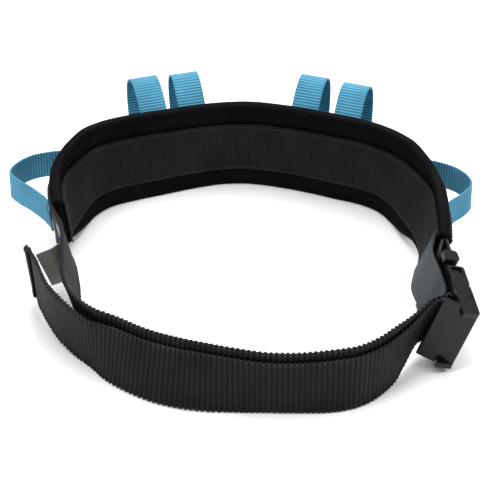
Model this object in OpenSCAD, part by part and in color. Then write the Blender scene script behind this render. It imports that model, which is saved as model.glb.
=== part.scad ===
// Padded patient transfer belt: a curved pad with six webbing handles, a doubled front strap and a
// side-release buckle. The belt is closed and stands on its lower edge. Z is up, the wearer faces -Y.

/* [Pad] */
// Half height of the pad's middle section, from the belt's mid line to its edge
pad_half = 44.6; // [40:0.2:46]
// Half height of the pad's right end, where the buckle hangs
right_end_half = 28; // [26:1:32]
// Half height of the pad's left end, where the front strap leaves
left_end_half = 27; // [26:1:32]
// Thickness of the foam core
foam_t = 7; // [5:0.5:8]
// Thickness of the lining and of the outer shell
fabric_t = 0.9; // [0.6:0.1:1.2]
// Width of the binding tape that shows on each side of the edge
binding_w = 7; // [5:0.5:8]

/* [Webbing] */
// Width of the heavy webbing
web_w = 50; // [48:1:51]
// Thickness of the heavy webbing
web_t = 2; // [1.6:0.1:2.2]
// Rise of the front strap's inner layer and drop of its outer layer
layer_shift = 4; // [2:0.5:5]
// Distance of each front layer's middle from the line between them
layer_gap = 1.6; // [1.5:0.1:2.5]

/* [Handles] */
// Width of the handle webbing
handle_w = 25; // [20:1:28]
// Thickness of the handle webbing
handle_t = 1.8; // [1.4:0.1:2]
// Length of each sewn end
tab_len = 16; // [12:1:18]
// Size of the outer left back handle's loop, as a share of the others
big_loop = 1.17; // [1:0.01:1.2]

/* [Buckle] */
// Height of the buckle, across the webbing
buckle_w = 62; // [58:1:64]
// Thickness of the buckle
buckle_t = 15; // [13:0.5:16]
// Width of each latch arm
arm_w = 9; // [7:0.5:10]
// Radius of the locking bar
bar_r = 3; // [2.5:0.1:3.2]

/* [Hidden] */
$fn = 48;

// Places along the pad's mid surface, from its right end round the back to its left end:
// x, y, z, then how far the pad's upper edge leans in x and in y for each unit of height.
PAD = [[163, -34, 40, 0.38, -0.03], [165.5, -16, 41.5, 0.3, -0.06], [167, 6, 42.5, 0.23, -0.07],
    [165.5, 31, 43, 0.24, -0.02], [160, 53, 42, 0.25, -0.03], [153, 70, 42.5, 0.2, -0.03],
    [144, 89, 43.5, 0.14, -0.08], [130, 107, 44, 0.06, -0.08], [110, 121.5, 44, -0.02, -0.05],
    [86, 132, 44, -0.03, -0.05], [61, 142.5, 44, -0.02, -0.07], [35, 151, 44, 0, -0.09],
    [9, 156.5, 44, 0, -0.1], [-17, 155.5, 44, 0, -0.11], [-43, 149, 44, 0, -0.09],
    [-70, 139.5, 44, 0.02, -0.05], [-96, 130, 44, 0.01, -0.03], [-119, 119, 44, -0.02, -0.03],
    [-135, 104.5, 43.5, -0.05, 0], [-145, 87, 42, -0.11, 0], [-152, 70, 40.5, -0.18, -0.01],
    [-155.5, 54, 40, -0.17, -0.06], [-156.5, 39, 40.5, -0.1, -0.14], [-154.5, 24, 40.5, -0.08, -0.26]];
pad_end = len(PAD) - 1;
// Where the pad's shoulders lie along those places, and its half height there
SHOULDERS = [[0, right_end_half], [2, 32], [3.5, 34], [5, 41], [6, pad_half], [18, pad_half],
    [19, 42.5], [20.5, 36], [22, 31], [pad_end, left_end_half]];

// The front strap: the left side of its inner layer, which follows on from the pad's outer band, the
// front where two layers lie together, and the free tail of the outer layer, which ends at the far left.
LEFT_SIDE = [[-160.2, 22.5, 39.8, -0.08, -0.26], [-147.5, -6, 39, -0.16, -0.3],
    [-142.5, -41, 36.5, -0.25, -0.26], [-139.5, -72, 34.5, -0.27, -0.2], [-133, -100, 32, -0.2, -0.1]];
FRONT = [[-120, -130, 29, -0.06, -0.05], [-101, -147, 29, 0.09, 0.09], [-78.5, -164, 29, 0.11, 0.17],
    [-54, -176.5, 29, 0.09, 0.22], [-29.5, -183.5, 29, 0.04, 0.18], [-4, -188.5, 29, 0, 0.05],
    [22, -192, 29, 0, -0.06], [48, -192.5, 29, 0, -0.06], [73.5, -190, 29, 0, -0.01],
    [94, -184, 29, 0.02, -0.02], [110.5, -172, 29, 0.04, -0.04], [125.5, -155, 30, 0.09, -0.07],
    [137, -139, 33, 0.2, -0.12], [150, -124, 41, 0.3, -0.18]];
TAIL = [[-174.5, -40, 35, -0.1, -0.08], [-167, -61, 32.5, -0.03, -0.08], [-157, -86, 30, -0.04, -0.12],
    [-143, -109, 28, -0.03, -0.08]];
steps = 5; // rings between two places
place_gap = 0.02; // between two pieces that follow on, in places
fold_gap = 0.3;
fold_len = 0.5; // length of the tail's folded end, in places
tail_joint = len(TAIL) + 0.5; // where the tail starts to stand free

// The buckle's own frame: x runs from its fixed end to its free end, y points away from the wearer
buckle_at = [168.5, -104, 41];
buckle_turn = [-17, 10, -80]; // roll, pitch and yaw
half_w = buckle_w / 2;
half_t = buckle_t / 2;
cut = 40; // longer than anything that it cuts
rail_far = -35; // far end of the housing's side rails
neck_far = -23;
neck_half_t = 6;
neck_inset = 5;
body_far = -16;
join = 0.1; // how far one block runs into the next
seam_x = 7;
male_near = 40;
rail_w = 5; // height of each side rail
bar_at = [21, 5]; // locking bar, in the buckle's x and y
leg_tilt = -17; // slant of the webbing through the adjuster
leg_len = 16;
end_gap = 0.8; // between each layer and the webbing round the bar
wrap_in = bar_r + 0.15;
wrap_mid = wrap_in + web_t / 2;
anchor_x = -33; // bar that the anchor loop passes round
anchor_r = 3.2;
plate_x = 11; // near face of the male half's cross plate
tongue_len = 20;
tongue_half = 8; // half its height
seam_gap = 0.3; // between the two halves
wall = 3; // housing wall, above and below the cavity
cavity_x = -14.6; // far end of the cavity
cavity_half_t = 4.5;
arm_root = seam_x - 0.6; // leaves room for the arm to turn beside the male half
arm_tip = -12.6;
arm_half_t = 3.2;
arm_h = arm_w - 2;
arm_top = half_w - wall - 3; // 3 mm below the cavity's wall at rest
hook_len = 4;
catch_h = 1.6; // how far each hook stands into its window
window_far = 1.6; // room beyond the hook, for its swing
window_near = 0.7; // free play before the hook catches

// Loops of the back handles, beside the pad: distance from the mid surface, height above the mid line
LOOP = [[13, 40], [22.6, 49.5], [32.2, 55], [40.6, 54], [46.6, 47], [47.8, 35], [44.8, 18], [37.6, 0],
    [26.2, -14.5], [13, -24]];
loop_root = LOOP[0][0];
BACK_HANDLES = [15.2, 13.9, 10.2, 8.7]; // places of the back handles along the pad
handle_z = 44;
LEFT_LOOP = [[-137, 119.8], [-152, 122.5], [-170, 120], [-188, 112], [-200, 98], [-203.4, 84], [-195, 71],
    [-184, 60], [-171, 44]];
// Sewn ends of the side handles: place along the pad, and distance out from lying flat on the band.
// Each runs the same way along the pad, so that its solid isn't inside out. Then their heights.
SIDE_TABS = [[[16.9, 0], [17.2, 0.3], [17.42, 2]], [[21.92, 3.4], [22.25, 0.5], [22.6, 0]],
    [[6.47, 4.2], [6.62, 1.4], [6.8, 0]], [[2.35, 0], [2.65, 2], [2.88, 5]]];
SIDE_TAB_H = [0.4, 4.8, 0.6, 4];
RIGHT_LOOP = [[153, 104.6], [163, 106.3], [176, 102.5], [191, 93], [201, 79], [203.4, 64], [197, 51],
    [184, 37]];

// ---- smooth lines through places ----
function unit(v) = v / norm(v);
function blend4(a, b, c, d, t) =
    0.5 * (2 * b + (c - a) * t + (2 * a - 5 * b + 4 * c - d) * t * t + (3 * b - a - 3 * c + d) * t * t * t);
function before(path, i) = i > 0 ? path[i - 1] : 2 * path[0] - path[1];
function after(path, i) = i < len(path) ? path[i] : 2 * path[i - 1] - path[i - 2];
function place(path, u) =
    let (i = min(max(floor(u), 0), len(path) - 2))
    blend4(before(path, i), path[i], path[i + 1], after(path, i + 2), u - i);
function spot(s) = [s[0], s[1], s[2]];
function station(p, s) = [p[0], p[1], p[2], s[3], s[4]]; // at point p, leaning as s does
function leaning(s) = unit([s[3], s[4], 1]);
function heading(path, u) =
    unit(spot(place(path, min(u + 0.02, len(path) - 1)) - place(path, max(u - 0.02, 0))));
function outward(path, u) = unit(cross(heading(path, u), leaning(place(path, u))));
function at(path, u, n, h) =
    let (s = place(path, u)) spot(s) + n * outward(path, u) + h * leaning(s);
function on_floor(p) = [p[0], p[1], max(p[2], 0)];
function range(u0, u1) =
    let (k = max(1, ceil((u1 - u0) * steps))) [for (i = [0:k]) u0 + (u1 - u0) * i / k];

// The two triangles of one side of a ring. Opposite sides split along the same diagonal, so that
// two layers that face each other stay parallel where they twist.
function split(a, b, c, d, j) = j < 2 ? [[a, b, c], [b, d, c]] : [[a, b, d], [a, d, c]];
// A solid through rings of four corners each
module through(rings) {
    n = len(rings);
    sides = [for (i = [0:n - 2], j = [0:3])
        each split(4 * i + j, 4 * i + (j + 1) % 4, 4 * i + 4 + j, 4 * i + 4 + (j + 1) % 4, j)];
    polyhedron([for (r = rings) each r], concat([[3, 2, 1, 0]], sides, [[for (j = [0:3]) 4 * n - 4 + j]]));
}

// A band along a path: n0 to n1 away from its surface, and lo(u) to hi(u) above its mid line
module band(path, u0, u1, n0, n1, lo, hi)
    through([for (u = range(u0, u1)) [on_floor(at(path, u, n0, lo(u))), on_floor(at(path, u, n1, lo(u))),
        at(path, u, n1, hi(u)), at(path, u, n0, hi(u))]]);

// ---- pad ----
function pad_top(u) = lookup(u, SHOULDERS);
skin_gap = 0.1; // between the foam and its covers
lining_n = foam_t / 2 + skin_gap;
skin_n = lining_n + fabric_t;
band_gap = 0.4; // the bands are narrower than the layers under them, so they need more room
web_n = skin_n + band_gap;
tape_gap = 0.2; // between a cover's edge and the binding
end_len = 0.3; // length of each end binding, in places

module pad_layer(n0, n1, inset)
    band(PAD, end_len + place_gap, pad_end - end_len - place_gap, n0, n1, function (u) inset - pad_top(u),
        function (u) pad_top(u) - inset);

module pad_foam_core() color("dimgray") pad_layer(-foam_t / 2, foam_t / 2, binding_w + tape_gap);
module pad_inner_lining() color([0.13, 0.13, 0.14]) pad_layer(-skin_n, -lining_n, binding_w + tape_gap);
module pad_outer_shell() color([0.09, 0.09, 0.1]) pad_layer(lining_n, skin_n, binding_w + tape_gap);
module pad_binding_upper() color([0.07, 0.07, 0.08])
    band(PAD, end_len + place_gap, pad_end - end_len - place_gap, -skin_n, skin_n,
        function (u) pad_top(u) - binding_w, function (u) pad_top(u));
module pad_binding_lower() color([0.07, 0.07, 0.08])
    band(PAD, end_len + place_gap, pad_end - end_len - place_gap, -skin_n, skin_n,
        function (u) -pad_top(u), function (u) binding_w - pad_top(u));
module end_binding(u0) color([0.07, 0.07, 0.08])
    band(PAD, u0, u0 + end_len, -skin_n, skin_n, function (u) -pad_top(u), function (u) pad_top(u));
module pad_binding_left_end() end_binding(pad_end - end_len);
module pad_binding_right_end() end_binding(0);

module wide_web(path, u0, u1, n0, n1)
    band(path, u0, u1, n0, n1, function (u) -web_w / 2, function (u) web_w / 2);
module inner_webbing_band() color([0.2, 0.2, 0.22]) wide_web(PAD, 0.05, pad_end, -web_n - web_t, -web_n);
module outer_webbing_band() color([0.12, 0.12, 0.13]) wide_web(PAD, 0.05, pad_end, web_n, web_n + web_t);

// ---- handles ----
handle_blue = [0.36, 0.68, 0.83];
tab_gap = 0.35;
tab_n = web_n + web_t + tab_gap;

// Rings of a flat band whose middle follows points p, with its width along w
function flat_rings(p, w, t, wide) = [for (i = [0:len(p) - 1])
    let (along = unit(p[min(i + 1, len(p) - 1)] - p[max(i - 1, 0)]), m = unit(cross(along, w)))
    [p[i] - m * t / 2 - w * wide / 2, p[i] + m * t / 2 - w * wide / 2,
        p[i] + m * t / 2 + w * wide / 2, p[i] - m * t / 2 + w * wide / 2]];
function smooth(points, k) = [for (i = [0:k * (len(points) - 1)]) place(points, i / k)];

module back_loop(u, size) color(handle_blue)
    through(flat_rings([for (q = smooth(LOOP, 3)) at(PAD, u, loop_root + (q[0] - loop_root) * size, q[1])],
        heading(PAD, u), handle_t, handle_w));

// The sewn ends of a back handle lie flat on the outer band, and curve out to the loop
upper_peel = 26; // heights at which the two ends leave the band
lower_peel = -12;
bartack_t = 0.5;
bartack_half = 1.5; // half height of one row of stitches
bartack_gap = 0.1;
bartack_inset = 1.5; // from each edge of the webbing
UPPER_CURVE = [[10, 36.5], [8.9, 32.5]]; // distance and height on each end's way out to the loop
LOWER_CURVE = [[10, -20.8], [8.9, -17]];
BARTACKS = [-6, 2, 12, 20]; // heights of the rows
module back_tab(u, upper) {
    flat_n = tab_n + handle_t / 2;
    reach = upper ? concat(UPPER_CURVE, [[flat_n, upper_peel], [flat_n, upper_peel - tab_len]])
        : concat(LOWER_CURVE, [[flat_n, lower_peel], [flat_n, lower_peel + tab_len]]);
    through(flat_rings([for (q = smooth(reach, 3)) at(PAD, u, q[0], q[1])], heading(PAD, u), handle_t,
        handle_w));
}
module back_bartack(u, h)
    through(flat_rings([for (q = [-bartack_half, bartack_half])
        at(PAD, u, tab_n + handle_t + bartack_gap + bartack_t / 2, h + q)], heading(PAD, u), bartack_t,
        handle_w - 2 * bartack_inset));

module back_handle_left_outer() back_loop(BACK_HANDLES[0], big_loop);
module back_handle_left_inner() back_loop(BACK_HANDLES[1], 1);
module back_handle_right_inner() back_loop(BACK_HANDLES[2], 1);
module back_handle_right_outer() back_loop(BACK_HANDLES[3], 1);
module back_handle_sewn_ends() color(handle_blue)
    for (u = BACK_HANDLES, upper = [true, false]) back_tab(u, upper);
module back_handle_bartacks() color([0.1, 0.25, 0.45])
    for (u = BACK_HANDLES, h = BARTACKS) back_bartack(u, h);

module upright(points) color(handle_blue)
    through(flat_rings([for (q = smooth(points, 3)) [q[0], q[1], handle_z]], [0, 0, 1], handle_t, handle_w));
module side_handle_left() upright(LEFT_LOOP);
module side_handle_right() upright(RIGHT_LOOP);
module side_tab(tab, h) {
    stand = tab_n + handle_t / 2;
    through([for (q = smooth(tab, 3)) let (w = leaning(place(PAD, q[0])), m = outward(PAD, q[0]),
        c = at(PAD, q[0], stand + q[1], h))
        [c - m * handle_t / 2 - w * handle_w / 2, c + m * handle_t / 2 - w * handle_w / 2,
            c + m * handle_t / 2 + w * handle_w / 2, c - m * handle_t / 2 + w * handle_w / 2]]);
}
module side_handle_sewn_ends() color(handle_blue) for (i = [0:3]) side_tab(SIDE_TABS[i], SIDE_TAB_H[i]);

// ---- buckle frame ----
function buckle_axis(k) =
    let (sr = sin(buckle_turn[0]), cr = cos(buckle_turn[0]), sp = sin(buckle_turn[1]),
        cp = cos(buckle_turn[1]), sy = sin(buckle_turn[2]), cy = cos(buckle_turn[2]))
    k == 0 ? [cy * cp, sy * cp, -sp]
    : k == 1 ? [cy * sp * sr - sy * cr, sy * sp * sr + cy * cr, cp * sr]
    : [cy * sp * cr + sy * sr, sy * sp * cr - cy * sr, cp * cr];
function in_buckle(x, y, z) = buckle_at + x * buckle_axis(0) + y * buckle_axis(1) + z * buckle_axis(2);
function buckle_place(x, y) =
    let (p = in_buckle(x, y, 0), up = buckle_axis(2)) [p[0], p[1], p[2], up[0] / up[2], up[1] / up[2]];
function by_bar(a, b) =
    [bar_at[0] + a * cos(leg_tilt) - b * sin(leg_tilt), bar_at[1] + a * sin(leg_tilt) + b * cos(leg_tilt)];
function leg_end(side, far) = let (q = by_bar(side * wrap_mid, -leg_len - far)) buckle_place(q[0], q[1]);
module buckle_frame() translate(buckle_at) rotate(buckle_turn) children();

// ---- front strap ----
function shift_at(i) = lookup(i, [[0, 1], [len(FRONT) - 3, 1], [len(FRONT) - 1, 0]]);
function parting_at(i) = lookup(i, [[0, 2.1], [1, 1.6], [2, 1.2], [3, 1]]); // the layers part at the tail
function layer(side) = [for (i = [0:len(FRONT) - 1])
    station(at(FRONT, i, side * layer_gap * parting_at(i), -side * layer_shift * shift_at(i)), FRONT[i])];
INNER = concat(LEFT_SIDE, layer(-1), [leg_end(-1, end_gap)]);
OUTER = concat(TAIL, layer(1), [leg_end(1, end_gap)]);

module front_strap() color([0.1, 0.1, 0.11]) wide_web(INNER, 0, len(INNER) - 1, -web_t / 2, web_t / 2);
module strap_return() color([0.12, 0.12, 0.13])
    wide_web(OUTER, tail_joint + place_gap, len(OUTER) - 1, -web_t / 2, web_t / 2);
module strap_tail() color([0.12, 0.12, 0.13]) wide_web(OUTER, 0, tail_joint, -web_t / 2, web_t / 2);
module strap_tail_fold() color([0.1, 0.1, 0.1])
    wide_web(OUTER, 0, fold_len, web_t / 2 + fold_gap, 1.5 * web_t + fold_gap);
module strap_wrap() color([0.1, 0.1, 0.11]) buckle_frame()
    translate([bar_at[0], bar_at[1], -web_w / 2]) rotate([0, 0, leg_tilt]) {
        difference() {
            cylinder(h = web_w, r = wrap_in + web_t);
            translate([0, 0, -1]) cylinder(h = web_w + 2, r = wrap_in);
            translate([-cut / 2, -cut, -1]) cube([cut, cut, web_w + 2]);
        }
        for (side = [-1, 1])
            translate([side > 0 ? wrap_in : -wrap_in - web_t, -leg_len, 0]) cube([web_t, leg_len, web_w]);
    }

// ---- small soft parts ----
soft_gap = 0.6; // between the label and the webbing that it is sewn to
label_t = 1;
label_low = 21; // below its mid line
label_high = 18;
LABEL_SEWN = [0.6, 0.8, 1, 1.2, 1.4]; // places of its sewn half along the front strap
LABEL_FREE = [[-153, -33, 36.5, -0.25, -0.2], [-165.5, -39.5, 36, -0.35, -0.12]]; // it stands out here
LABEL = concat([for (u = LABEL_SEWN) station(at(INNER, u, web_t / 2 + soft_gap, 0), place(INNER, u))],
    LABEL_FREE);
module care_label() color([0.6, 0.58, 0.55])
    band(LABEL, 0, len(LABEL) - 1, 0, label_t, function (u) -label_low, function (u) label_high);
flap_t = 1.2;
flap_gap = 0.8; // between the flap and the pad's inner band
flap_place = 0.35; // where it is sewn on, along the pad
flap_mid = -web_n - web_t - flap_gap - flap_t / 2;
FLAP = [station(at(PAD, flap_place, flap_mid, 0), PAD[0]), [151.5, -56, 43, 0.36, -0.12],
    buckle_place(-18, -11.5), buckle_place(0, -11), buckle_place(8, -11)];
module buckle_guard_flap() color([0.3, 0.36, 0.42])
    wide_web(FLAP, 0, len(FLAP) - 1, -flap_t / 2, flap_t / 2);
ANCHOR_END = [163, -37, 41, 0.38, -0.05]; // where the anchor loop meets the pad's end
anchor_part = [1.8, 0.2]; // how far its two legs stand from there, in x and y
ring_lap = 0.3; // overlap of each leg with the ring
leg_run = 6; // length of each leg's straight part beside the ring
leg_spread = 0.6;
module anchor_loop() color([0.1, 0.1, 0.11]) {
    ring_in = anchor_r + 0.15;
    buckle_frame() translate([anchor_x, 0, -web_w / 2]) difference() {
        cylinder(h = web_w, r = ring_in + web_t);
        translate([0, 0, -1]) cylinder(h = web_w + 2, r = ring_in);
        translate([-cut, -cut / 2, -1]) cube([cut, cut, web_w + 2]);
    }
    for (side = [-1, 1]) {
        leg = [buckle_place(anchor_x + ring_lap, side * (ring_in + web_t / 2)),
            buckle_place(anchor_x - leg_run, side * (ring_in + web_t / 2 + leg_spread)),
            station(spot(ANCHOR_END) + side * [anchor_part[0], anchor_part[1], 0], ANCHOR_END)];
        wide_web(leg, 0, len(leg) - 1, -web_t / 2, web_t / 2);
    }
}

// ---- buckle ----
// A bar with rounded long edges, from x0 to x1 and y0 to y1, across the heights z0 to z1
module bar_block(x0, x1, y0, y1, z0, z1, r) translate([0, 0, z0]) linear_extrude(z1 - z0) {
    translate([x0 + r, y0]) square([x1 - x0 - 2 * r, y1 - y0]);
    translate([x0, y0 + r]) square([x1 - x0, y1 - y0 - 2 * r]);
    for (x = [x0 + r, x1 - r], y = [y0 + r, y1 - r]) translate([x, y]) circle(r);
}

module female_housing() color([0.06, 0.06, 0.07]) buckle_frame() {
    difference() {
        bar_block(body_far, seam_x, -half_t, half_t, -half_w, half_w, 2.5);
        translate([cavity_x, -cavity_half_t, -half_w + wall])
            cube([seam_x - cavity_x + 1, 2 * cavity_half_t, buckle_w - 2 * wall]);
        for (side = [0, 1]) mirror([0, 0, side])
            translate([arm_tip - window_far, -cavity_half_t, half_w - wall - 1])
                cube([window_far + hook_len + window_near, 2 * cavity_half_t, wall + 2]);
    }
    bar_block(neck_far, body_far + join, -neck_half_t, neck_half_t, neck_inset - half_w,
        half_w - neck_inset, 2);
    for (side = [0, 1]) mirror([0, 0, side])
        bar_block(rail_far, neck_far + join, -half_t + 1, half_t - 1, half_w - rail_w, half_w, 3);
    translate([anchor_x, 0, -half_w]) cylinder(h = buckle_w, r = anchor_r);
}

module male_frame() color([0.07, 0.07, 0.08]) buckle_frame() {
    bar_block(seam_x + seam_gap, plate_x, -half_t, half_t, -half_w, half_w, 1.5);
    translate([seam_x + seam_gap + 0.2 - tongue_len, -arm_half_t, -tongue_half])
        cube([tongue_len, 2 * arm_half_t, 2 * tongue_half]);
    difference() {
        for (side = [0, 1]) mirror([0, 0, side])
            bar_block(plate_x - 1, male_near, -half_t, half_t, half_w - rail_w, half_w, 2);
        translate([bar_at[0], bar_at[1], -half_w - 1]) cylinder(h = buckle_w + 2, r = bar_r);
    }
    lip();
}
// Broad plate at the free end, slanting in towards the wearer
lip_len = 28;
lip_r = 1.6; // half the plate's thickness
lip_turn = -28;
module lip() difference() {
    translate([male_near - lip_r - 0.2, half_t - lip_r - 0.2, -half_w]) rotate([0, 0, lip_turn]) {
        translate([-lip_r, -lip_len, 0]) cube([2 * lip_r, lip_len, buckle_w]);
        cylinder(h = buckle_w, r = lip_r);
        translate([0, -lip_len, 0]) cylinder(h = buckle_w, r = lip_r);
    }
    for (side = [0, 1]) mirror([0, 0, side])
        translate([12, -half_t - 0.01, half_w - rail_w - 0.01])
            cube([male_near - 16, buckle_t + 0.02, rail_w + 1]);
}
module locking_bar() color([0.1, 0.1, 0.11]) buckle_frame()
    translate([bar_at[0], bar_at[1], -half_w + 0.5]) cylinder(h = buckle_w - 1, r = bar_r - 0.05);

// A latch arm: a springy prong with a hook that catches the housing's side window
module latch_arm(side) color([0.06, 0.06, 0.07]) buckle_frame() mirror([0, 0, side]) {
    translate([arm_tip, -arm_half_t, arm_top - arm_h]) cube([arm_root - arm_tip, 2 * arm_half_t, arm_h]);
    translate([arm_tip, -arm_half_t, arm_top - 1]) cube([hook_len, 2 * arm_half_t, 4 + catch_h]);
}
module latch_arm_upper() latch_arm(0);
module latch_arm_lower() latch_arm(1);

pad_foam_core();
pad_inner_lining();
pad_outer_shell();
pad_binding_upper();
pad_binding_lower();
pad_binding_left_end();
pad_binding_right_end();
inner_webbing_band();
outer_webbing_band();
back_handle_left_outer();
back_handle_left_inner();
back_handle_right_inner();
back_handle_right_outer();
back_handle_sewn_ends();
back_handle_bartacks();
side_handle_left();
side_handle_right();
side_handle_sewn_ends();
care_label();
buckle_guard_flap();
anchor_loop();
front_strap();
strap_return();
strap_tail();
strap_tail_fold();
strap_wrap();
female_housing();
male_frame();
locking_bar();
latch_arm_upper();
latch_arm_lower();
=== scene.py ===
import math
import bpy
import numpy as np
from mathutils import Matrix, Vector


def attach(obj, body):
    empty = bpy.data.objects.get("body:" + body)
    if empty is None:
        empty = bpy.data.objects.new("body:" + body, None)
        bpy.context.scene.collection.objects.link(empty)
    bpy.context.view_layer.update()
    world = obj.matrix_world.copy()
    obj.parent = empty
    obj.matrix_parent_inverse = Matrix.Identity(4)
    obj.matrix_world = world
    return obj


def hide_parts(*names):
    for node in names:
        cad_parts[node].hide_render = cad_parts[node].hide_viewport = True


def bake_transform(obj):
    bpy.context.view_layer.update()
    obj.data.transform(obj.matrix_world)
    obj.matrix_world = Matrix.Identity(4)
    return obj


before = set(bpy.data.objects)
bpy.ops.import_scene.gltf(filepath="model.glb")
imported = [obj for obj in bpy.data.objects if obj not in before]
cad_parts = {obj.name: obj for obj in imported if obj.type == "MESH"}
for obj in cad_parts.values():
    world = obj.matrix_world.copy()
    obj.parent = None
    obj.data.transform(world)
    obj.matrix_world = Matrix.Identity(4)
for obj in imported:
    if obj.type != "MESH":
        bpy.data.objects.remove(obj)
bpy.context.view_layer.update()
scene = bpy.context.scene

# ---------------------------------------------------------------- camera, light, floor
cam = bpy.data.objects.new("camera", bpy.data.cameras.new("camera"))
scene.collection.objects.link(cam)
cam.location = (0.009, -1.5243, 1.0185)
cam.rotation_euler = (math.radians(57), 0, 0)
cam.data.lens, cam.data.sensor_width = 152.2, 36
scene.camera = cam
scene.view_settings.view_transform = "Standard"


def area(name, loc, aim, size, power):
    data = bpy.data.lights.new(name, "AREA")
    data.shape, data.size, data.energy = "SQUARE", size, power
    lamp = bpy.data.objects.new(name, data)
    scene.collection.objects.link(lamp)
    lamp.location = loc
    lamp.rotation_euler = (Vector(aim) - Vector(loc)).to_track_quat("-Z", "Y").to_euler()


area("top", (0, 0.1, 2.0), (0, 0, 0.04), 1.5, 34)
area("key", (-0.9, -0.8, 1.4), (0, 0, 0.04), 0.7, 13)
area("fill", (1.3, -0.3, 1.1), (0, 0, 0.04), 0.7, 9)
area("back", (0.1, 1.5, 1.1), (0, 0, 0.05), 1.3, 26)
world = bpy.data.worlds.new("studio")
scene.world = world
world.use_nodes = True
world.node_tree.nodes["Background"].inputs[0].default_value = (1, 1, 1, 1)
world.node_tree.nodes["Background"].inputs[1].default_value = 0.42


# ---------------------------------------------------------------- materials
PATCHES = 38  # scale of the slow change of colour over every surface
SHEEN_ROUGHNESS = 0.45
BUMP_DEPTH = 0.0002
PAINTED_CREST_HIGHLIGHT = 1.3  # painted highlight: how much brighter the crest of a rib is painted, over the painted shade in its hollow


def material(name, color, rough, sheen=0.0, spec=0.5, weave=None, grain=None, vary=0.15, painted_groove_shade=None):
    """weave = (threads per metre along, across, strength): crossing threads from the strip's own
    coordinates. grain = (scale, strength): a fine noise over the surface. The last argument is how dark
    the painted shade in the hollows between the ribs is, from 0 to 1; the crests get a painted highlight."""
    m = bpy.data.materials.new(name)
    m.use_nodes = True
    nt = m.node_tree
    b = nt.nodes["Principled BSDF"]
    b.inputs["Roughness"].default_value = rough
    b.inputs["Specular IOR Level"].default_value = spec
    if sheen:
        b.inputs["Sheen Weight"].default_value = sheen
        b.inputs["Sheen Roughness"].default_value = SHEEN_ROUGHNESS
    tc = nt.nodes.new("ShaderNodeTexCoord")
    noise = nt.nodes.new("ShaderNodeTexNoise")
    noise.inputs["Scale"].default_value = PATCHES
    noise.inputs["Detail"].default_value = 6
    nt.links.new(tc.outputs["Object"], noise.inputs["Vector"])
    ramp = nt.nodes.new("ShaderNodeValToRGB")
    ramp.color_ramp.elements[0].position, ramp.color_ramp.elements[1].position = 0.3, 0.7
    lo = [c * (1 - vary) for c in color]
    hi = [min(1, c * (1 + vary)) for c in color]
    ramp.color_ramp.elements[0].color = (*lo, 1)
    ramp.color_ramp.elements[1].color = (*hi, 1)
    nt.links.new(noise.outputs["Fac"], ramp.inputs["Fac"])
    col = ramp.outputs["Color"]
    height = None
    if weave:
        along, across, strength = weave
        waves = []
        for axis, n in (("X", along), ("Y", across)):
            w = nt.nodes.new("ShaderNodeTexWave")
            w.wave_type, w.bands_direction, w.wave_profile = "BANDS", axis, "SIN"
            w.inputs["Scale"].default_value = n / 20 * 2 * math.pi
            w.inputs["Distortion"].default_value = 0.25
            w.inputs["Detail"].default_value = 1
            w.inputs["Detail Scale"].default_value = 4
            nt.links.new(tc.outputs["UV"], w.inputs["Vector"])
            waves.append(w)
        mul = nt.nodes.new("ShaderNodeMath")
        mul.operation = "MULTIPLY"
        nt.links.new(waves[0].outputs["Fac"], mul.inputs[0])
        nt.links.new(waves[1].outputs["Fac"], mul.inputs[1])
        mix = nt.nodes.new("ShaderNodeMix")
        mix.data_type, mix.blend_type = "RGBA", "MULTIPLY"
        mix.inputs["Factor"].default_value = 0.35
        nt.links.new(col, mix.inputs[6])
        shade = nt.nodes.new("ShaderNodeMapRange")
        shade.inputs["To Min"].default_value, shade.inputs["To Max"].default_value = 0.55, 1.25
        nt.links.new(mul.outputs[0], shade.inputs["Value"])
        nt.links.new(shade.outputs[0], mix.inputs[7])
        col = mix.outputs[2]
        height = (mul.outputs[0], strength, BUMP_DEPTH)
    # painted light: the rib value from the mesh darkens the hollows between the ribs into painted shade and brightens
    # the crests into a painted highlight
    if painted_groove_shade is not None:
        painted_rib_light = nt.nodes.new("ShaderNodeAttribute")
        painted_rib_light.attribute_name = "painted_rib_light"
        dark = nt.nodes.new("ShaderNodeMapRange")
        dark.inputs["From Max"].default_value = PAINTED_CREST_HIGHLIGHT
        dark.inputs["To Min"].default_value, dark.inputs["To Max"].default_value = painted_groove_shade, PAINTED_CREST_HIGHLIGHT
        dark.clamp = False
        nt.links.new(painted_rib_light.outputs["Fac"], dark.inputs["Value"])
        scale = nt.nodes.new("ShaderNodeVectorMath")
        scale.operation = "SCALE"
        nt.links.new(col, scale.inputs[0])
        nt.links.new(dark.outputs[0], scale.inputs["Scale"])
        col = scale.outputs[0]
    nt.links.new(col, b.inputs["Base Color"])
    if grain:
        g = nt.nodes.new("ShaderNodeTexNoise")
        g.inputs["Scale"].default_value, g.inputs["Detail"].default_value = grain[0], 4
        nt.links.new(tc.outputs["Object"], g.inputs["Vector"])
        bump2 = nt.nodes.new("ShaderNodeBump")
        bump2.inputs["Strength"].default_value, bump2.inputs["Distance"].default_value = grain[1], BUMP_DEPTH
        nt.links.new(g.outputs["Fac"], bump2.inputs["Height"])
        nt.links.new(bump2.outputs["Normal"], b.inputs["Normal"])
        if height:
            bump = nt.nodes.new("ShaderNodeBump")
            bump.inputs["Strength"].default_value, bump.inputs["Distance"].default_value = height[1:]
            nt.links.new(height[0], bump.inputs["Height"])
            nt.links.new(bump2.outputs["Normal"], bump.inputs["Normal"])
            nt.links.new(bump.outputs["Normal"], b.inputs["Normal"])
    return m


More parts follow.
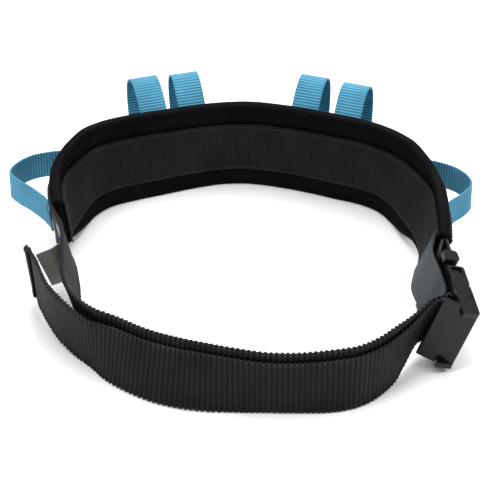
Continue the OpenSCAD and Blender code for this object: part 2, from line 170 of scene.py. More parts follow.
M_LINING = material("pad_lining", (0.0034, 0.0036, 0.0046),
    0.8, 0.0, 0.04, (700, 700, 0.5), (900, 0.25), 0.3)
M_SHELL = material("pad_shell", (0.0032, 0.0034, 0.0043),
    0.75, 0.0, 0.05, (600, 600, 0.6), (700, 0.25), 0.3)
M_BIND = material("binding_tape", (0.0028, 0.0028, 0.0036),
    0.75, 0.0, 0.04, (900, 500, 0.5), (900, 0.2), 0.2)
# the last number of the ribbed, black and blue webbing is how dark their painted shade in the rib hollows goes
M_RIB = material("ribbed_webbing", (0.0125, 0.0132, 0.0165),
    0.55, 0.0, 0.08, (900, 700, 0.35), (1200, 0.25), 0.35, 0.1)
M_WEB = material("black_webbing", (0.0095, 0.0102, 0.0125),
    0.5, 0.0, 0.11, (900, 600, 0.45), (1000, 0.3), 0.35, 0.12)
M_BLUE = material("blue_webbing", (0.08, 0.33, 0.5),
    0.62, 0.05, 0.15, (900, 700, 0.4), (1100, 0.25), 0.14, 0.38)
M_THREAD = material("dark_blue_thread", (0.008, 0.05, 0.11), 0.55, 0.1, 0.3, None, (2500, 0.5), 0.2)
M_STITCH = material("black_thread", (0.03, 0.03, 0.036), 0.5, 0.05, 0.35, None, (2500, 0.5), 0.2)
M_LABEL = material("label_cloth", (0.37, 0.355, 0.325),
    0.62, 0.15, 0.3, (1500, 1500, 0.25), (600, 0.2), 0.07)
M_FLAP = material("flap_vinyl", (0.024, 0.033, 0.041), 0.5, 0.0, 0.12, None, (420, 0.3), 0.1)
M_EDGE = material("flap_edge", (0.004, 0.004, 0.005), 0.55, 0.0, 0.2, None, (900, 0.3), 0.2)
M_PLASTIC = material("buckle_plastic", (0.0045, 0.005, 0.0065),
    0.28, 0.0, 0.3, None, (1500, 0.14), 0.15)
M_FLOOR = material("floor", (0.9, 0.9, 0.9), 0.9, 0, 0.1, None, (60, 0.02), 0.01)

bpy.ops.mesh.primitive_plane_add(size=12, location=(0, 0, -0.0002))
floor = bpy.context.object
floor.name = "floor"
floor.data.materials.append(M_FLOOR)

# ---------------------------------------------------------------- the belt's own lines, in metres
MM = 0.001


def table(rows):
    return np.array(rows, float) * np.array([MM, MM, MM, 1, 1])


# Each row is x, y, z in mm, then how far the upper edge leans in x and in y for each unit of height.
# PAD runs from its right end round the back. LEFT_SIDE and FRONT carry the load strap on to the buckle,
# and TAIL is the strap's free end.
PAD = table([[163, -34, 40, .38, -.03], [165.5, -16, 41.5, .3, -.06], [167, 6, 42.5, .23, -.07],
    [165.5, 31, 43, .24, -.02], [160, 53, 42, .25, -.03], [153, 70, 42.5, .2, -.03], [144, 89, 43.5, .14, -.08],
    [130, 107, 44, .06, -.08], [110, 121.5, 44, -.02, -.05], [86, 132, 44, -.03, -.05], [61, 142.5, 44, -.02, -.07],
    [35, 151, 44, 0, -.09], [9, 156.5, 44, 0, -.1], [-17, 155.5, 44, 0, -.11], [-43, 149, 44, 0, -.09],
    [-70, 139.5, 44, .02, -.05], [-96, 130, 44, .01, -.03], [-119, 119, 44, -.02, -.03], [-135, 104.5, 43.5, -.05, 0],
    [-145, 87, 42, -.11, 0], [-152, 70, 40.5, -.18, -.01], [-155.5, 54, 40, -.17, -.06], [-156.5, 39, 40.5, -.1, -.14],
    [-154.5, 24, 40.5, -.08, -.26]])
LEFT_SIDE = table([[-160.2, 22.5, 39.8, -.08, -.26], [-147.5, -6, 39, -.16, -.3], [-142.5, -41, 36.5, -.25, -.26],
    [-139.5, -72, 34.5, -.27, -.2], [-133, -100, 32, -.2, -.1]])
FRONT = table([[-120, -130, 29, -.06, -.05], [-101, -147, 29, .09, .09], [-78.5, -164, 29, .11, .17],
    [-54, -176.5, 29, .09, .22], [-29.5, -183.5, 29, .04, .18], [-4, -188.5, 29, 0, .05], [22, -192, 29, 0, -.06],
    [48, -192.5, 29, 0, -.06], [73.5, -190, 29, 0, -.01], [94, -184, 29, .02, -.02], [110.5, -172, 29, .04, -.04],
    [125.5, -155, 30, .09, -.07], [137, -139, 33, .2, -.12], [150, -124, 41, .3, -.18]])
TAIL = table([[-174.5, -40, 35, -.1, -.08], [-167, -61, 32.5, -.03, -.08], [-157, -86, 30, -.04, -.12],
    [-143, -109, 28, -.03, -.08]])
# place along PAD, and the height of the pad's edge above its mid line in mm
SHOULDERS = [(0, 28), (2, 32), (3.5, 34), (5, 41), (6, 44.6), (18, 44.6), (19, 42.5), (20.5, 36), (22, 31), (23, 27)]
# a back handle's loop: distance from the pad's mid surface, and height
LOOP = np.array([[13, 40], [22.6, 49.5], [32.2, 55], [40.6, 54], [46.6, 47], [47.8, 35], [44.8, 18], [37.6, 0],
    [26.2, -14.5], [13, -24]]) * MM
# the buckle's centre
C = np.array([168.5, -104, 41]) * MM
# the buckle's own axes: along its pull, out from the wearer, and up its width
YAW, DIP, ROLL = (math.radians(a) for a in (-80, 10, -17))
AX = np.array([math.cos(YAW) * math.cos(DIP), math.sin(YAW) * math.cos(DIP), -math.sin(DIP)])
LEVEL = np.array([-math.sin(YAW), math.cos(YAW), 0])
RISE = np.cross(AX, LEVEL)
AY = LEVEL * math.cos(ROLL) + RISE * math.sin(ROLL)
AZ = RISE * math.cos(ROLL) - LEVEL * math.sin(ROLL)


def unit(v):
    v = np.asarray(v, float)
    return v / max(np.linalg.norm(v), 1e-12)


def place(path, u):
    n = len(path)
    i = min(max(int(math.floor(u)), 0), n - 2)
    t = u - i
    b, c = path[i], path[i + 1]
    a = path[i - 1] if i > 0 else 2 * path[0] - path[1]
    d = path[i + 2] if i + 2 < n else 2 * path[n - 1] - path[n - 2]
    return 0.5 * (2 * b + (c - a) * t + (2 * a - 5 * b + 4 * c - d) * t * t + (3 * b - a - 3 * c + d) * t ** 3)


def lean(q):
    return unit([q[3], q[4], 1])


def heading(path, u):
    return unit((place(path, min(u + 0.02, len(path) - 1)) - place(path, max(u - 0.02, 0)))[:3])


def outward(path, u):
    return unit(np.cross(heading(path, u), lean(place(path, u))))


def at(path, u, n, h):
    q = place(path, u)
    return q[:3] + n * outward(path, u) + h * lean(q)


def pad_top(u):
    return float(np.interp(u, [a for a, b in SHOULDERS], [b for a, b in SHOULDERS])) * MM


def in_buckle(x, y, z=0.0):
    return C + (x * AX + y * AY + z * AZ) * MM


# the locking bar in the buckle, the slant of the webbing that turns round it, the length of each of its
# legs, and the radius of the turn, in mm
BAR, TILT, LEG, WRAP = (21, 5), math.radians(-17), 16, 4.15


def by_bar(a, b):
    c, s = math.cos(TILT), math.sin(TILT)
    return BAR[0] + a * c - b * s, BAR[1] + a * s + b * c


def station(p):
    return [*p, AZ[0] / AZ[2], AZ[1] / AZ[2]]


def layer(side):
    """One of the front's two layers, -1 inner and 1 outer: further apart near the start, and level with each
    other where they reach the buckle."""
    rows = []
    for i in range(len(FRONT)):
        gap = 1.6 * float(np.interp(i, [0, 1, 2, 3], [2.1, 1.6, 1.2, 1])) * MM
        drop = 4 * float(np.interp(i, [0, len(FRONT) - 3, len(FRONT) - 1], [1, 1, 0])) * MM
        rows.append([*at(FRONT, i, side * gap, -side * drop), FRONT[i][3], FRONT[i][4]])
    return rows


def leg_end(side, far=0.8):
    return station(in_buckle(*by_bar(side * WRAP, -LEG - far)))


INNER = np.array([*LEFT_SIDE, *layer(-1), leg_end(-1)])
OUTER = np.array([*TAIL, *layer(1), leg_end(1)])


# ---------------------------------------------------------------- mesh builders
def new_mesh(name, verts, faces, mats, uvs=None, smooth=True, index=None, painted_rib_light=None):
    me = bpy.data.meshes.new(name)
    me.from_pydata([tuple(map(float, v)) for v in verts], [], [tuple(map(int, f)) for f in faces])
    for m in (mats if isinstance(mats, (list, tuple)) else [mats]):
        me.materials.append(m)
    if index is not None:
        me.polygons.foreach_set("material_index", np.array(index, np.int32))
    me.polygons.foreach_set("use_smooth", np.full(len(faces), smooth))
    if uvs is not None:
        layer_ = me.uv_layers.new(name="UVMap")
        loops = np.zeros(len(me.loops), np.int32)
        me.loops.foreach_get("vertex_index", loops)
        layer_.data.foreach_set("uv", np.array(uvs, np.float32)[loops].ravel())
    # per-point rib value, turned by the material into painted shade in the hollows and a painted highlight on the
    # crests
    if painted_rib_light is not None:
        me.attributes.new("painted_rib_light", "FLOAT", "POINT").data.foreach_set("value", np.array(painted_rib_light, np.float32))
    me.validate()
    me.update()
    ob = bpy.data.objects.new(name, me)
    scene.collection.objects.link(ob)
    return ob


def ribbon(name, pts, ups, hw, t, pitch, rib, mat, bead=0.0, floor_clamp=False, seed=0):
    """Woven webbing: ribs across both faces, and beaded selvedges where the weft turns back."""
    pts, ups = np.array(pts, float), np.array(ups, float)
    seg = np.linalg.norm(np.diff(pts, axis=0), axis=1)
    s = np.concatenate([[0], np.cumsum(seg)])
    total = s[-1]
    n = max(8, int(round(total / pitch)) * 6)
    ss = np.linspace(0, total, n + 1)
    P = np.stack([np.interp(ss, s, pts[:, k]) for k in range(3)], 1)
    U = np.stack([np.interp(ss, s, ups[:, k]) for k in range(3)], 1)
    U /= np.linalg.norm(U, axis=1)[:, None]
    A = np.gradient(P, axis=0)
    A /= np.linalg.norm(A, axis=1)[:, None]
    N = np.cross(A, U)
    N /= np.linalg.norm(N, axis=1)[:, None]
    cols = np.array([-1, -0.985, -0.95, -0.9, -0.8, -0.5, -0.2, 0.2, 0.5, 0.8, 0.9, 0.95, 0.985, 1])
    k = len(cols)
    rng = np.random.default_rng(seed)
    knots = max(4, int(total / 0.02))
    wob = np.interp(ss, np.linspace(0, total, knots), rng.normal(0, 1, knots))
    phase = 2 * np.pi * ss / pitch
    lump = rng.uniform(0.7, 1.15, int(total / pitch) + 2)
    verts, uvs, painted_rib_light = [], [], []
    for i in range(n + 1):
        front = (0.5 + 0.5 * math.cos(phase[i])) ** 0.7
        back = (0.5 + 0.5 * math.cos(phase[i] + math.pi)) ** 0.7
        for side, c in ((1, front), (-1, back)):
            seq = cols if side == 1 else cols[::-1]
            for w in seq:
                edge = abs(w)
                body = 1.0 if edge < 0.93 else max(0.0, (1.0 - edge) / 0.07) ** 0.5
                off = (t / 2) * (0.35 + 0.65 * body) + rib * (c - 0.5) * (0.5 + 0.5 * body)
                if edge > 0.88:
                    size = lump[min(int(phase[i] / (2 * np.pi)), len(lump) - 1)]
                    off += bead * 0.8 * c * size * (1.0 if edge < 0.99 else 0.3)
                wide = hw * w + (np.sign(w) * bead * (c - 0.3) if edge > 0.96 else 0)
                wide += 0.00012 * wob[i] * (edge > 0.5)
                p = P[i] + U[i] * wide + N[i] * side * off
                if floor_clamp:
                    p[2] = max(p[2], 0.0004)
                verts.append(p)
                uvs.append((ss[i], hw * w))
                # painted light: 0 in the rib hollows for painted shade, 1 on the crests and 2.6 on heavy beaded
                # selvedges for a painted highlight
                painted_rib_light.append(c * (2.6 if edge > 0.93 and bead > 0.5 * MM else 1.0))
    faces = []
    m = 2 * k
    for i in range(n):
        for j in range(m):
            a, b = i * m + j, i * m + (j + 1) % m
            faces.append((a, a + m, b + m, b))
    for i, flip in ((0, False), (n, True)):
        for j in range(k - 1):
            a, b = i * m + j, i * m + j + 1
            c_, d = i * m + (m - 1 - j), i * m + (m - 2 - j)
            faces.append((a, b, d, c_) if not flip else (a, c_, d, b))
    return new_mesh(name, verts, faces, mat, uvs, painted_rib_light=painted_rib_light)


def strip(path, u0, u1, n, h=0.0, count=400):
    us = np.linspace(u0, u1, count)
    return [at(path, u, n, h) for u in us], [lean(place(path, u)) for u in us]


def smooth_line(points, per=14):
    pts = np.array(points, float)
    if pts.shape[1] == 2:
        pts = np.hstack([pts, np.zeros((len(pts), 3))])
    elif pts.shape[1] == 3:
        pts = np.hstack([pts, np.zeros((len(pts), 2))])
    return np.array([place(pts, i / per) for i in range(per * (len(pts) - 1) + 1)])


def thread(name, lines, r, mat, sides=6):
    """Raised stitches: a thin round thread along each given line of points, in one mesh."""
    verts, faces = [], []
    for line in lines:
        L = np.array(line, float)
        A = np.gradient(L, axis=0)
        A /= np.maximum(np.linalg.norm(A, axis=1), 1e-9)[:, None]
        base = len(verts)
        for i, p in enumerate(L):
            ref = np.array([0, 0, 1.0]) if abs(A[i][2]) < 0.9 else np.array([1.0, 0, 0])
            x = unit(np.cross(A[i], ref))
            y = np.cross(A[i], x)
            rr = r * (0.55 if i in (0, len(L) - 1) else 1.0)
            for k in range(sides):
                a = 2 * math.pi * k / sides
                verts.append(p + rr * (math.cos(a) * x + math.sin(a) * y))
        for i in range(len(L) - 1):
            for k in range(sides):
                a, b = base + i * sides + k, base + i * sides + (k + 1) % sides
                faces.append((a, b, b + sides, a + sides))
        faces.append(tuple(base + k for k in range(sides))[::-1])
        faces.append(tuple(base + (len(L) - 1) * sides + k for k in range(sides)))
    return new_mesh(name, verts, faces, mat)


# ---------------------------------------------------------------- padded body
BAND_N = 5.9 * MM  # from the pad's mid surface to the middle of each band
U_END = len(PAD) - 1
SEAM_H = 0.0262  # height of the two stitch lines beside the bands
TRIM = 1.5 * MM  # the padded body stops this far inside the binding
PAD_FLOOR = 0.0008


def pad_profile(h, top):
    """Half thickness of the pad: full between its stitch lines, drawn in along them and at the edges."""
    f = abs(h) / top
    edge = max(0.0, 1 - f ** 6)
    seam = math.exp(-((abs(h) - SEAM_H) / 0.0022) ** 2)
    puff = 0.0
    if abs(h) > SEAM_H:
        puff = 0.9 * math.sin(math.pi * min(1, max(0, (abs(h) - SEAM_H) / max(1e-4, top - SEAM_H))))
    return (3.3 + 1.0 * edge + 0.75 * puff - 0.7 * seam) * MM


NU, NH = 300, 30
pad_us = np.linspace(0.12, U_END - 0.12, NU + 1)
pv, puv, pf, pmi = [], [], [], []
arc = 0.0
for i, u in enumerate(pad_us):
    top = pad_top(u) - TRIM
    if i:
        arc += float(np.linalg.norm(place(PAD, u)[:3] - place(PAD, pad_us[i - 1])[:3]))
    for side in (1, -1):
        rows = np.linspace(-1, 1, NH + 1) if side == 1 else np.linspace(1, -1, NH + 1)
        for f in rows:
            h = f * top
            pucker = 0.16 * math.sin(arc * 1000 / 6.1 + 1.7 * side) * math.exp(-((abs(h) - SEAM_H) / 0.006) ** 2)
            wave = 0.22 * math.sin(arc * 1000 / 23 + 2.1 * side + f * 2) * (abs(f) > 0.55)
            p = at(PAD, u, side * (pad_profile(h, top) + (pucker + wave) * MM), h)
            p[2] = max(p[2], PAD_FLOOR)
            pv.append(p)
            puv.append((arc, h))
row = 2 * (NH + 1)
for i in range(NU):
    for j in range(row):
        a, b = i * row + j, i * row + (j + 1) % row
        pf.append((a, a + row, b + row, b))
        pmi.append(0 if j <= NH else 1)
for i, flip in ((0, False), (NU, True)):
    for j in range(NH):
        a, b = i * row + j, i * row + j + 1
        c_, d = i * row + (row - 1 - j), i * row + (row - 2 - j)
        pf.append((a, b, d, c_) if not flip else (a, c_, d, b))
        pmi.append(0)
pad = new_mesh("padded_body", pv, pf, [M_SHELL, M_LINING], puv, index=pmi)


def inflate(ob, cap, frames=14):
    """Cloth pressure rounds the pad between its seams. Seams, edges and the band's bed are pinned, and no
    point moves further than cap. Its result is stored in the mesh and the modifier removed."""
    rest = np.array([v.co for v in ob.data.vertices])
    pins = ob.vertex_groups.new(name="pins")
    uv = np.array(puv)
    for i in range(len(rest)):
        h = uv[i][1]
        u = pad_us[i // row]
        top = pad_top(u) - TRIM
        free = (abs(h) > 0.029) and (abs(h) < top - 0.006) and 0.5 < u < U_END - 0.5
        pins.add([i], 0.0 if free else 1.0, "REPLACE")
    mod = ob.modifiers.new("cloth", "CLOTH")
    st = mod.settings
    st.vertex_group_mass = "pins"
    st.use_pressure, st.uniform_pressure_force = True, 2.5
    st.quality, st.mass = 5, 0.2
    st.tension_stiffness = st.compression_stiffness = 25
    st.bending_stiffness = 4
    st.effector_weights.gravity = 0
    mod.collision_settings.use_collision = False
    mod.collision_settings.use_self_collision = False
    scene.frame_start, scene.frame_end = 1, frames
    for f in range(1, frames + 1):
        scene.frame_set(f)
    dg = bpy.context.evaluated_depsgraph_get()
    moved = np.array([v.co for v in ob.evaluated_get(dg).data.vertices])
    ob.modifiers.remove(mod)
    scene.frame_set(1)
    step = moved - rest
    size = np.linalg.norm(step, axis=1)
    step *= np.minimum(1, cap / np.maximum(size, 1e-9))[:, None]
    out = rest + step
    out[:, 2] = np.maximum(out[:, 2], PAD_FLOOR)
    ob.data.vertices.foreach_set("co", out.astype(np.float32).ravel())
    ob.vertex_groups.clear()
    ob.data.update()


inflate(pad, 1.2 * MM)
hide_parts("pad_foam_core", "pad_inner_lining", "pad_outer_shell")
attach(pad, "belt")


# ---------------------------------------------------------------- edge bindings
def sweep(name, frames_, profile, mat):
    """A closed profile of (n, h) points carried through frames (point, normal, up, distance)."""
    verts, uvs, faces = [], [], []
    m = len(profile)
    lengths = np.concatenate([[0], np.cumsum(np.linalg.norm(np.diff(np.array(profile), axis=0), axis=1))])
    for p, nn, up, s in frames_:
        ripple = 1 + 0.012 * math.sin(s * 1000 / 2.3)
        for k, (a, b) in enumerate(profile):
            q = p + nn * a * ripple + up * b
            q[2] = max(q[2], 0.0002)
            verts.append(q)
            uvs.append((s, lengths[k]))
    for i in range(len(frames_) - 1):
        for j in range(m):
            a, b = i * m + j, i * m + (j + 1) % m
            faces.append((a, b, b + m, a + m))
    faces.append(tuple(range(m))[::-1])
    faces.append(tuple((len(frames_) - 1) * m + k for k in range(m)))
    return new_mesh(name, verts, faces, mat, uvs)


def tape_profile(half, wide, t):
    """Tape folded over an edge: outer skin down one side, round the edge and up the other."""
    out = [(half + 0.15 * MM, -wide), (half + 0.35 * MM, -wide + 1 * MM), (half + 0.3 * MM, -wide * 0.5),
        (half + 0.05 * MM, -1.6 * MM), (half * 0.72, -0.35 * MM), (half * 0.35, 0.1 * MM), (0, 0.2 * MM)]
    outer = out + [(-a, b) for a, b in out[::-1][1:]]
    inner = [(-half + t, -wide), (-half + t + 0.3 * MM, -2.2 * MM),
        (half - t - 0.3 * MM, -2.2 * MM), (half - t, -wide)]
    return outer + inner


def edge_frames(sign):
    out, s, last = [], 0.0, None
    for u in np.linspace(0.05, U_END - 0.05, 520):
        p = at(PAD, u, 0, sign * pad_top(u))
        if last is not None:
            s += float(np.linalg.norm(p - last))
        last = p
        out.append((p, outward(PAD, u), sign * lean(place(PAD, u)), s))
    return out


PROFILE = tape_profile(4.5 * MM, 7 * MM, 0.9 * MM)
for nm, sign in (("upper", 1), ("lower", -1)):
    o = sweep("binding_" + nm, edge_frames(sign), PROFILE if sign == 1 else PROFILE[::-1], M_BIND)
    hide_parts("pad_binding_" + nm)
    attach(o, "belt")
for nm, u, sign in (("right", 0.0, -1), ("left", float(U_END), 1)):
    fr, head = [], heading(PAD, u) * sign
    for h in np.linspace(-pad_top(u) + 0.6 * MM, pad_top(u) - 0.6 * MM, 60):
        fr.append((at(PAD, u, 0, h), outward(PAD, u), head, h + pad_top(u)))
    o = sweep("binding_%s_end" % nm, fr, PROFILE if sign == -1 else PROFILE[::-1], M_BIND)
    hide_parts("pad_binding_%s_end" % nm)
    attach(o, "belt")

# ---------------------------------------------------------------- the two bands along the pad
p_, u_ = strip(PAD, 0.05, U_END, -BAND_N, 0, 700)
band_in = ribbon("ribbed_band_inside", p_, u_, 25 * MM, 1.7 * MM, 2.7 * MM, 0.55 * MM, M_RIB, 0.25 * MM, seed=1)
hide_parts("inner_webbing_band")
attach(band_in, "belt")


def stitch_line(path, u0, u1, n, hf, pitch=3.6 * MM, length=2.5 * MM):
    """A row of single stitches, each with its two ends sunk into the cloth."""
    us = np.linspace(u0, u1, 1500)
    P = np.array([at(path, u, n, hf(u)) for u in us])
    s = np.concatenate([[0], np.cumsum(np.linalg.norm(np.diff(P, axis=0), axis=1))])
    out = []
    for k in range(int(s[-1] / pitch)):
        a = k * pitch + 0.4 * MM
        seg = np.linspace(a, min(a + length, s[-1]), 4)
        Q = np.stack([np.interp(seg, s, P[:, i]) for i in range(3)], 1)
        u = np.interp(a, s, us)
        d = unit(P[min(len(P) - 1, np.searchsorted(s, a))] - at(path, u, 0, hf(u)))
        Q[0] -= d * 0.3 * MM
        Q[-1] -= d * 0.3 * MM
        Q[:, 2] = np.maximum(Q[:, 2], 0.0006)
        out.append(Q)
    return out


# on both faces of the bindings, and along both edges of the inner band
for nm, sides, n, hf, mat in (("binding_stitches", (-1, 1), 5.0, lambda u: pad_top(u) - 5.2 * MM, M_BIND),
        ("band_stitches", (-1,), 7.0, lambda u: 22.6 * MM, M_STITCH)):
    lines = []
    for side in sides:
        for sign in (-1, 1):
            lines += stitch_line(PAD, 0.2, U_END - 0.2, side * n * MM, lambda u, g=sign, k=hf: g * k(u))
    o = thread(nm, lines, 0.28 * MM, mat, 5)
    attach(o, "belt")

# ---------------------------------------------------------------- handles
STAND = 8.15 * MM  # from the pad's mid surface to the webbing that is sewn flat on the outer band
TACK_STEPS = 26
TACK_LENGTH = 21 * MM


def blue_webbing(name, pts, ups, seed):
    return ribbon(name, pts, ups, 12.5 * MM, 1.5 * MM, 2.65 * MM, 0.42 * MM, M_BLUE, 0.28 * MM, seed=seed)


# the loop's CAD piece, its body, its place along PAD and its reach against LOOP
HANDLES = [("back_handle_left_outer", "back_handle_a", 15.2, 1.17),
    ("back_handle_left_inner", "back_handle_b", 13.9, 1.0),
    ("back_handle_right_inner", "back_handle_c", 10.2, 1.0), ("back_handle_right_outer", "back_handle_d", 8.7, 1.0)]
tacks = []
for i, (node, body, u, size) in enumerate(HANDLES):
    lp = [(13 * MM + (n - 13 * MM) * size, h) for n, h in LOOP]
    line = [(STAND, 10 * MM), (STAND, 20 * MM), (STAND + 0.1 * MM, 26 * MM), (9.6 * MM, 33 * MM)] + lp + [
        (9.6 * MM, -19 * MM), (STAND + 0.1 * MM, -12 * MM), (STAND, -5 * MM), (STAND, 4 * MM)]
    pts = [at(PAD, u, q[0], q[1]) for q in smooth_line(line)]
    o = blue_webbing(node.replace("back_handle", "back_grip"), pts, [heading(PAD, u)] * len(pts), 10 + i)
    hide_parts(node, "back_handle_sewn_ends")
    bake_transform(o)
    for h0 in (-6, 2, 12, 20):
        zig = []
        for k in range(TACK_STEPS + 1):
            along = heading(PAD, u) * (k / TACK_STEPS - 0.5) * TACK_LENGTH
            zig.append(at(PAD, u, STAND + 1.25 * MM, (h0 + (1.3 if k % 2 else -1.3)) * MM) + along)
        tacks.append(zig)
o = thread("back_bartacks", tacks, 0.33 * MM, M_THREAD)
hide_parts("back_handle_bartacks")
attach(o, "belt")

Z_H = 44 * MM
LEFT_LOOP = [(-137, 119.8), (-152, 122.5), (-170, 120), (-188, 112), (-200, 98), (-203.4, 84), (-195, 71),
    (-184, 60), (-171, 44)]
RIGHT_LOOP = [(153, 104.6), (163, 106.3), (176, 102.5), (191, 93), (201, 79), (203.4, 64), (197, 51), (184, 37)]


def tab_points(rows, h):
    return [at(PAD, u, STAND + n * MM, h * MM) for u, n in rows]


def side_grip(name, node, head, loop, tail, hs, seed):
    far, near = tab_points(head, hs[0]), tab_points(tail, hs[1])
    mid = [np.array([x * MM, y * MM, Z_H]) for x, y in loop]
    pts = smooth_line(np.array(far + mid + near))[:, :3]
    up0, up1 = lean(place(PAD, head[0][0])), lean(place(PAD, tail[-1][0]))
    z = np.array([0, 0, 1.0])
    ups, n = [], len(pts)
    for i in range(n):
        f = i / (n - 1)
        a, b = max(0, 1 - f / 0.14), max(0, 1 - (1 - f) / 0.14)
        ups.append(unit(z * (1 - a - b) + up0 * a + up1 * b))
    o = blue_webbing(name, pts, ups, seed)
    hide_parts(node, "side_handle_sewn_ends")
    a, b = mid[0], mid[-1]
    chord = unit(b - a)
    normal = unit(np.cross(chord, z))
    if np.dot(normal, mid[len(mid) // 2] - (a + b) / 2) < 0:
        normal = -normal
    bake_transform(o)
    return o


side_grip("side_grip_left", "side_handle_left", [(16.9, 0), (17.2, 0.3), (17.42, 2)], LEFT_LOOP,
    [(21.92, 3.4), (22.25, 0.5), (22.6, 0), (23, 0)], (0.4, 4.8), 21)
side_grip("side_grip_right", "side_handle_right", [(6.8, 0), (6.62, 1.4), (6.47, 4.2)], RIGHT_LOOP,
    [(2.88, 5), (2.65, 2), (2.35, 0)], (0.6, 4), 22)
tacks = []
for u, n, h in ((22.15, 1.25, 4.8), (22.45, 1.2, 4.8), (17.0, 1.4, 0.4), (6.72, 1.6, 0.6), (2.45, 1.9, 4)):
    zig = []
    for k in range(TACK_STEPS + 1):
        off = 0.09 if k % 2 else -0.09
        zig.append(at(PAD, u + off, STAND + n * MM, h * MM + (k / TACK_STEPS - 0.5) * TACK_LENGTH))
    tacks.append(zig)
o = thread("side_bartacks", tacks, 0.35 * MM, M_THREAD)
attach(o, "belt")

# ---------------------------------------------------------------- front strap, in two layers
def black_webbing(name, pts, ups, seed):
    return ribbon(name, pts, ups, 25 * MM, 1.75 * MM, 4.35 * MM, 0.65 * MM, M_WEB, 1.0 * MM, True, seed)


p0, u0 = strip(PAD, 0.05, U_END - 0.1, BAND_N, 0, 700)
p_, u_ = strip(INNER, 0.12, len(INNER) - 1, 0, 0, 800)
# round the locking bar, on its far side from the legs
arcpts = [in_buckle(*by_bar(WRAP * math.cos(a), WRAP * math.sin(a))) for a in np.linspace(math.pi, 0, 40)]
legs_in = [in_buckle(*by_bar(-WRAP, -LEG + k)) for k in np.linspace(0, LEG, 12)[:-1]]
legs_out = [in_buckle(*by_bar(WRAP, -k)) for k in np.linspace(0, LEG, 12)[1:]]
whole = p0 + p_ + legs_in + arcpts + legs_out
ups = u0 + u_ + [AZ] * (len(legs_in) + len(arcpts) + len(legs_out))
load = black_webbing("webbing_round_the_belt", whole, ups, 31)
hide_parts("outer_webbing_band", "front_strap", "strap_wrap")
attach(load, "belt")

p_, u_ = strip(OUTER, 0.04, len(OUTER) - 1, 0, 0, 800)
back = black_webbing("front_strap_return", p_, u_, 32)
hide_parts("strap_return", "strap_tail")
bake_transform(back)
p_, u_ = strip(OUTER, 0.0, 0.3, 2.3 * MM, 0, 60)
first = [at(OUTER, 0.0, n * MM, 0) - heading(OUTER, 0) * d * MM for n, d in ((0.0, 1.1), (1.2, 1.8), (2.3, 1.1))]
fold = ribbon("front_strap_folded_end", first + list(p_), [u_[0]] * 3 + list(u_), 24.6 * MM, 1.75 * MM, 4.3 * MM,
    0.6 * MM, M_WEB, 0.8 * MM, True, 33)
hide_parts("strap_tail_fold")
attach(fold, "tail")


# ---------------------------------------------------------------- label, flap, anchor loop
def sheet_mesh(name, pts, ups, lo, hi, t, mat, bulge=0.0, crease=None, corner=0.0, edge_mat=None):
    """A closed thin sheet along pts, from lo(f) to hi(f) across at each part f of its length."""
    pts = np.array(pts)
    A = np.gradient(pts, axis=0)
    A /= np.linalg.norm(A, axis=1)[:, None]
    verts, uvs, faces, mi = [], [], [], []
    n, m = len(pts), 24
    for side in (1, -1):
        for i in range(n):
            f = i / (n - 1)
            N = unit(np.cross(A[i], ups[i]))
            cut = 0.0
            if corner and f > 0.6:
                g = (f - 0.6) / 0.4
                cut = corner * (1 - math.sqrt(max(0.0, 1 - g * g)))
            for k in range(m + 1):
                g = k / m
                a, b = lo(f) + cut, hi(f) - cut * 0.4
                h = a + (b - a) * g
                off = bulge * math.sin(math.pi * g) * math.sin(math.pi * f)
                if crease is not None:
                    off -= 0.0007 * math.exp(-((f - crease) / 0.035) ** 2)
                verts.append(pts[i] + ups[i] * h + N * (off + side * t / 2))
                uvs.append((f * 0.05, h))
    size = n * (m + 1)
    for side, base in ((1, 0), (-1, size)):
        for i in range(n - 1):
            for k in range(m):
                a = base + i * (m + 1) + k
                q = (a, a + 1, a + m + 2, a + m + 1)
                faces.append(q if side == -1 else q[::-1])
                mi.append(0)
    ring = [i * (m + 1) for i in range(n)] + [(n - 1) * (m + 1) + k for k in range(1, m + 1)]
    ring += [i * (m + 1) + m for i in range(n - 2, -1, -1)] + [k for k in range(m - 1, 0, -1)]
    for j in range(len(ring)):
        a, b = ring[j], ring[(j + 1) % len(ring)]
        faces.append((a, b, b + size, a + size))
        mi.append(1 if edge_mat else 0)
    return new_mesh(name, verts, faces, [mat, edge_mat] if edge_mat else mat, uvs, index=mi)


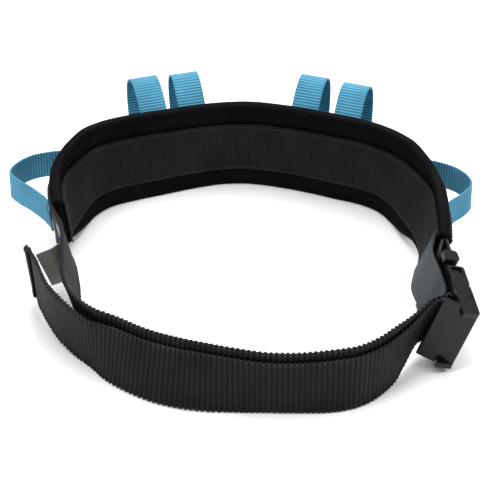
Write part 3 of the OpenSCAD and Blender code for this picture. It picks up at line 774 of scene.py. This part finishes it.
LABEL = np.array([[*at(INNER, u, 1.6 * MM, 0), *place(INNER, u)[3:]] for u in (0.6, 0.8, 1, 1.2, 1.4)]
    + [[-.153, -.033, .0365, -.25, -.2], [-.1655, -.0395, .036, -.35, -.12]])
lus = np.linspace(0, len(LABEL) - 1, 70)
lp = [at(LABEL, u, 1.0 * MM, 0) for u in lus]
lu = [lean(place(LABEL, u)) for u in lus]
label = sheet_mesh("care_label_blank", lp, lu, lambda f: -21 * MM,
    lambda f: (18 - 3.5 * max(0, (f - 0.7) / 0.3) ** 3) * MM, 0.7 * MM, M_LABEL, 0.0008, 0.72)
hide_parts("care_label")
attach(label, "belt")

sewn = at(PAD, 0.35, -8.3 * MM, 0)
flap_path = np.array([[*sewn, .38, -.03], [.1515, -.056, .043, .36, -.12], station(in_buckle(-18, -11.5)),
    station(in_buckle(0, -11)), station(in_buckle(8, -11))])
fus = np.linspace(0, 4, 90)
fp = [at(flap_path, u, 0, 0) for u in fus]
fu = [lean(place(flap_path, u)) for u in fus]
flap = sheet_mesh("buckle_guard", fp, fu, lambda f: -20 * MM, lambda f: 25 * MM, 1.2 * MM, M_FLAP,
    -0.001, None, 9 * MM, M_EDGE)
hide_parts("buckle_guard_flap")
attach(flap, "belt")

RING = 4.35  # radius of the anchor loop's turn round its bar, in mm
leg = {}
for side in (1, -1):
    sewn_at = np.array([163 + side * 1.8, -37 + side * 0.2, 41]) * MM
    L = np.array([[*sewn_at, .38, -.05], station(in_buckle(-39, side * (RING + 0.6))),
        station(in_buckle(-32.7, side * RING))])
    us = np.linspace(0, 2, 60)
    leg[side] = [at(L, u, 0, 0) for u in us], [lean(place(L, u)) for u in us]
ringpts = [in_buckle(-33 + RING * math.sin(a), RING * math.cos(a)) for a in np.linspace(0, math.pi, 40)][1:-1]
pts = leg[1][0] + ringpts + leg[-1][0][::-1]
ups = leg[1][1] + [AZ] * len(ringpts) + leg[-1][1][::-1]
loop = ribbon("anchor_webbing", pts, ups, 25 * MM, 1.6 * MM, 4.3 * MM, 0.5 * MM, M_WEB, 0.6 * MM, seed=41)
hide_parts("anchor_loop")
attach(loop, "belt")

# ---------------------------------------------------------------- buckle: the CAD shapes in moulded plastic
for node in ("female_housing", "male_frame", "locking_bar", "latch_arm_upper", "latch_arm_lower"):
    ob = bpy.data.objects[node]
    if not ob.data.materials:
        ob.data.materials.append(M_PLASTIC)
    for k in range(len(ob.material_slots)):
        ob.material_slots[k].material = M_PLASTIC
